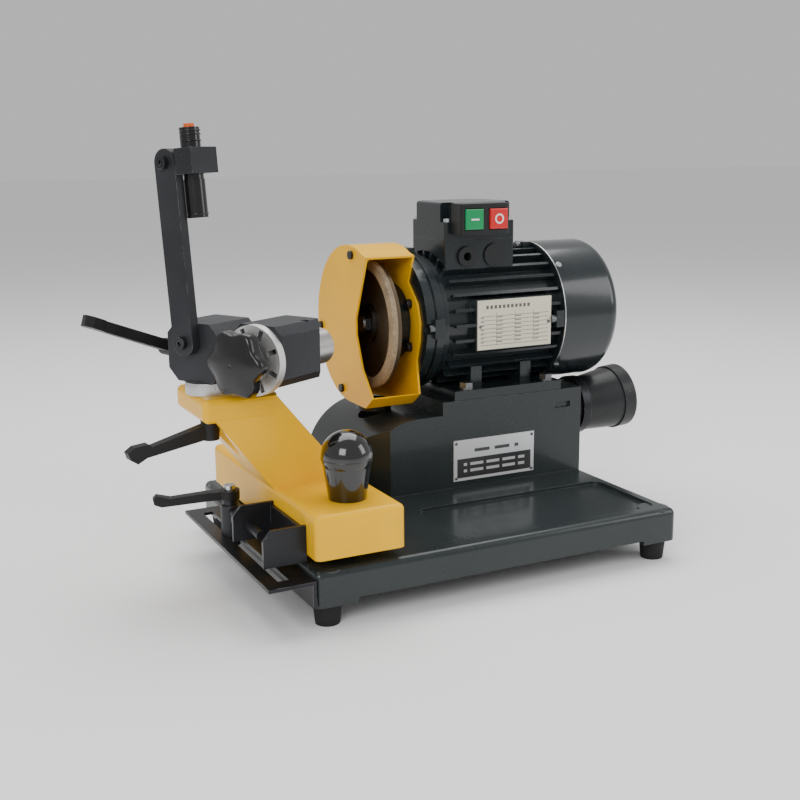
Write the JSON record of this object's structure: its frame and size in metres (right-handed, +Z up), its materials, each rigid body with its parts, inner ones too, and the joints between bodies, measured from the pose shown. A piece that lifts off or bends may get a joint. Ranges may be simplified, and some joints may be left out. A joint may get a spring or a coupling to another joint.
{
  "type": "drill bit sharpener",
  "caption": "Bench grinder for core drill bits: motor with guarded wheel on a cast base, sliding yellow arm, indexing spindle head, torch on a stalk and dust outlet.",
  "frame": {"origin": "on the bench, level with the undersides of the feet, under the middle of the base casting", "axes": "+Z up, +X along the motor shaft from the wheel to the fan cover, +Y from the operator to the back"},
  "size_m": [0.5677, 0.291, 0.3878],
  "materials": {
    "base_paint": "dark grey-green semi-gloss enamel over cast iron",
    "arm_paint": "yellow gloss enamel over cast iron",
    "guard_paint": "yellow enamel over sheet steel",
    "motor_paint": "dark green-black enamel over aluminium",
    "black_rubber": "matt",
    "bright_steel": "turned",
    "screw_steel": "zinc plated",
    "dark_steel": "black oxide",
    "head_iron": "phosphated, semi-matt",
    "dial": "satin with engraved ticks",
    "phenolic": "black, glossy",
    "lever_iron": "black textured powder coat",
    "abrasive": "bonded grit, tan",
    "wheel_plate": "turned",
    "copper": "varnished winding wire",
    "laminations": "stacked sheet",
    "rating_foil": null,
    "label_foil": null,
    "black_plastic": "moulded",
    "green_plastic": "moulded",
    "red_plastic": "moulded",
    "orange_plastic": "soft cap",
    "lamp_black": "black anodised",
    "duct_plastic": "moulded, black",
    "fan_plastic": "moulded"
  },
  "bodies": {
    "base": {"base_casting": "base_paint", "rubber_feet": "black_rubber", "label_plate": "label_foil", "guide_rail": "base_paint", "motor_housing": "motor_paint", "front_endshield": "motor_paint", "rear_endshield": "motor_paint", "fan_cover": "motor_paint", "motor_foot_bolts": "screw_steel", "endshield_bolts": "screw_steel", "fan_cover_screws": "screw_steel", "stator_core": "laminations", "stator_windings": "copper", "bearings": "bright_steel", "nameplate": "rating_foil", "terminal_box": "motor_paint", "terminal_box_lid": "motor_paint", "lid_screws": "screw_steel", "cable_gland": "black_plastic", "blanking_plug": "black_plastic", "switch_bezel": "black_plastic", "guard_shell": "guard_paint", "guard_cover": "guard_paint", "guard_screws": "screw_steel", "dust_duct": "duct_plastic", "dust_outlet": "duct_plastic", "dust_clamp_band": "screw_steel", "stop_bracket": "dark_steel"},
    "start_button": {"start_button": "green_plastic"},
    "stop_button": {"stop_button": "red_plastic"},
    "rotor": {"motor_shaft": "bright_steel", "rotor_core": "laminations", "cooling_fan": "fan_plastic", "wheel_hub": "dark_steel", "wheel_body": "wheel_plate", "abrasive_rim": "abrasive", "wheel_nut": "dark_steel"},
    "arm": {"arm_casting": "arm_paint", "arm_knob": "phenolic", "u_bracket": "dark_steel", "stop_rod": "dark_steel", "stop_nuts": "dark_steel"},
    "swivel_lever": {"swivel_lever": "lever_iron"},
    "head": {"protractor_ring": "dial", "head_block": "head_iron"},
    "head_lever": {"head_lever": "lever_iron"},
    "spindle_carrier": {"spindle_housing": "head_iron", "tilt_shaft": "bright_steel"},
    "spindle": {"spindle": "dark_steel", "index_disc": "bright_steel", "star_knob": "phenolic", "nose_screw": "bright_steel"},
    "lamp_arm": {"lamp_bar": "head_iron", "lamp_screws": "screw_steel"},
    "lamp_clamp": {"lamp_block": "head_iron", "lamp_body": "lamp_black"},
    "lamp_button": {"lamp_button": "orange_plastic"},
    "stop_post": {"stop_post": "dark_steel", "stop_screw": "bright_steel"},
    "stop_lever": {"stop_lever": "lever_iron"}
  },
  "joints": [
    {"name": "rotor_spin", "type": "hinge", "parent": "base", "child": "rotor", "pos_m": [0, 0.069, 0.204], "axis": [1, 0, 0], "continuous": true},
    {"name": "start_press", "type": "slide", "parent": "base", "child": "start_button", "axis": [0, 1, 0], "range_m": [0, 0.003], "stiffness_N_per_m": 600, "springref_m": -0.002},
    {"name": "stop_press", "type": "slide", "parent": "base", "child": "stop_button", "axis": [0, 1, 0], "range_m": [0, 0.003], "stiffness_N_per_m": 600, "springref_m": -0.002},
    {"name": "arm_slide", "type": "slide", "parent": "base", "child": "arm", "axis": [0, 1, 0], "range_m": [-0.012, 0.016]},
    {"name": "swivel_lever_turn", "type": "hinge", "parent": "arm", "child": "swivel_lever", "pos_m": [-0.217, -0.022, 0.1525], "axis": [0, 0, 1], "range_deg": [-30, 30]},
    {"name": "head_swivel", "type": "hinge", "parent": "arm", "child": "head", "pos_m": [-0.217, -0.022, 0.1725], "axis": [0, 0, 1], "range_deg": [-25, 35]},
    {"name": "head_lever_turn", "type": "hinge", "parent": "head", "child": "head_lever", "pos_m": [-0.22765, 0.01783, 0.204], "axis": [-0.4848, 0.8746, 0], "range_deg": [-30, 30]},
    {"name": "head_tilt", "type": "hinge", "parent": "head", "child": "spindle_carrier", "pos_m": [-0.20825, -0.01715, 0.204], "axis": [-0.4848, 0.8746, 0], "range_deg": [-8, 8]},
    {"name": "spindle_index", "type": "hinge", "parent": "spindle_carrier", "child": "spindle", "pos_m": [-0.19179, -0.06748, 0.204], "axis": [0.8746, 0.4848, 0], "continuous": true},
    {"name": "lamp_arm_swing", "type": "hinge", "parent": "head", "child": "lamp_arm", "pos_m": [-0.23152, -0.02468, 0.216], "axis": [0.8746, 0.4848, 0], "range_deg": [-25, 30]},
    {"name": "lamp_clamp_swing", "type": "hinge", "parent": "lamp_arm", "child": "lamp_clamp", "pos_m": [-0.23669, -0.01537, 0.3576], "axis": [0.8746, 0.4848, 0], "range_deg": [-40, 0]},
    {"name": "lamp_press", "type": "slide", "parent": "lamp_clamp", "child": "lamp_button", "axis": [0.0363, -0.0656, -0.9972], "range_m": [0, 0.0015], "stiffness_N_per_m": 400, "springref_m": -0.001},
    {"name": "stop_slide", "type": "slide", "parent": "base", "child": "stop_post", "axis": [0, 1, 0], "range_m": [-0.016, 0.025]},
    {"name": "stop_lever_turn", "type": "hinge", "parent": "stop_post", "child": "stop_lever", "pos_m": [-0.198, -0.007, 0.074], "axis": [0, 0, 1], "range_deg": [-40, 40]}
  ]
}
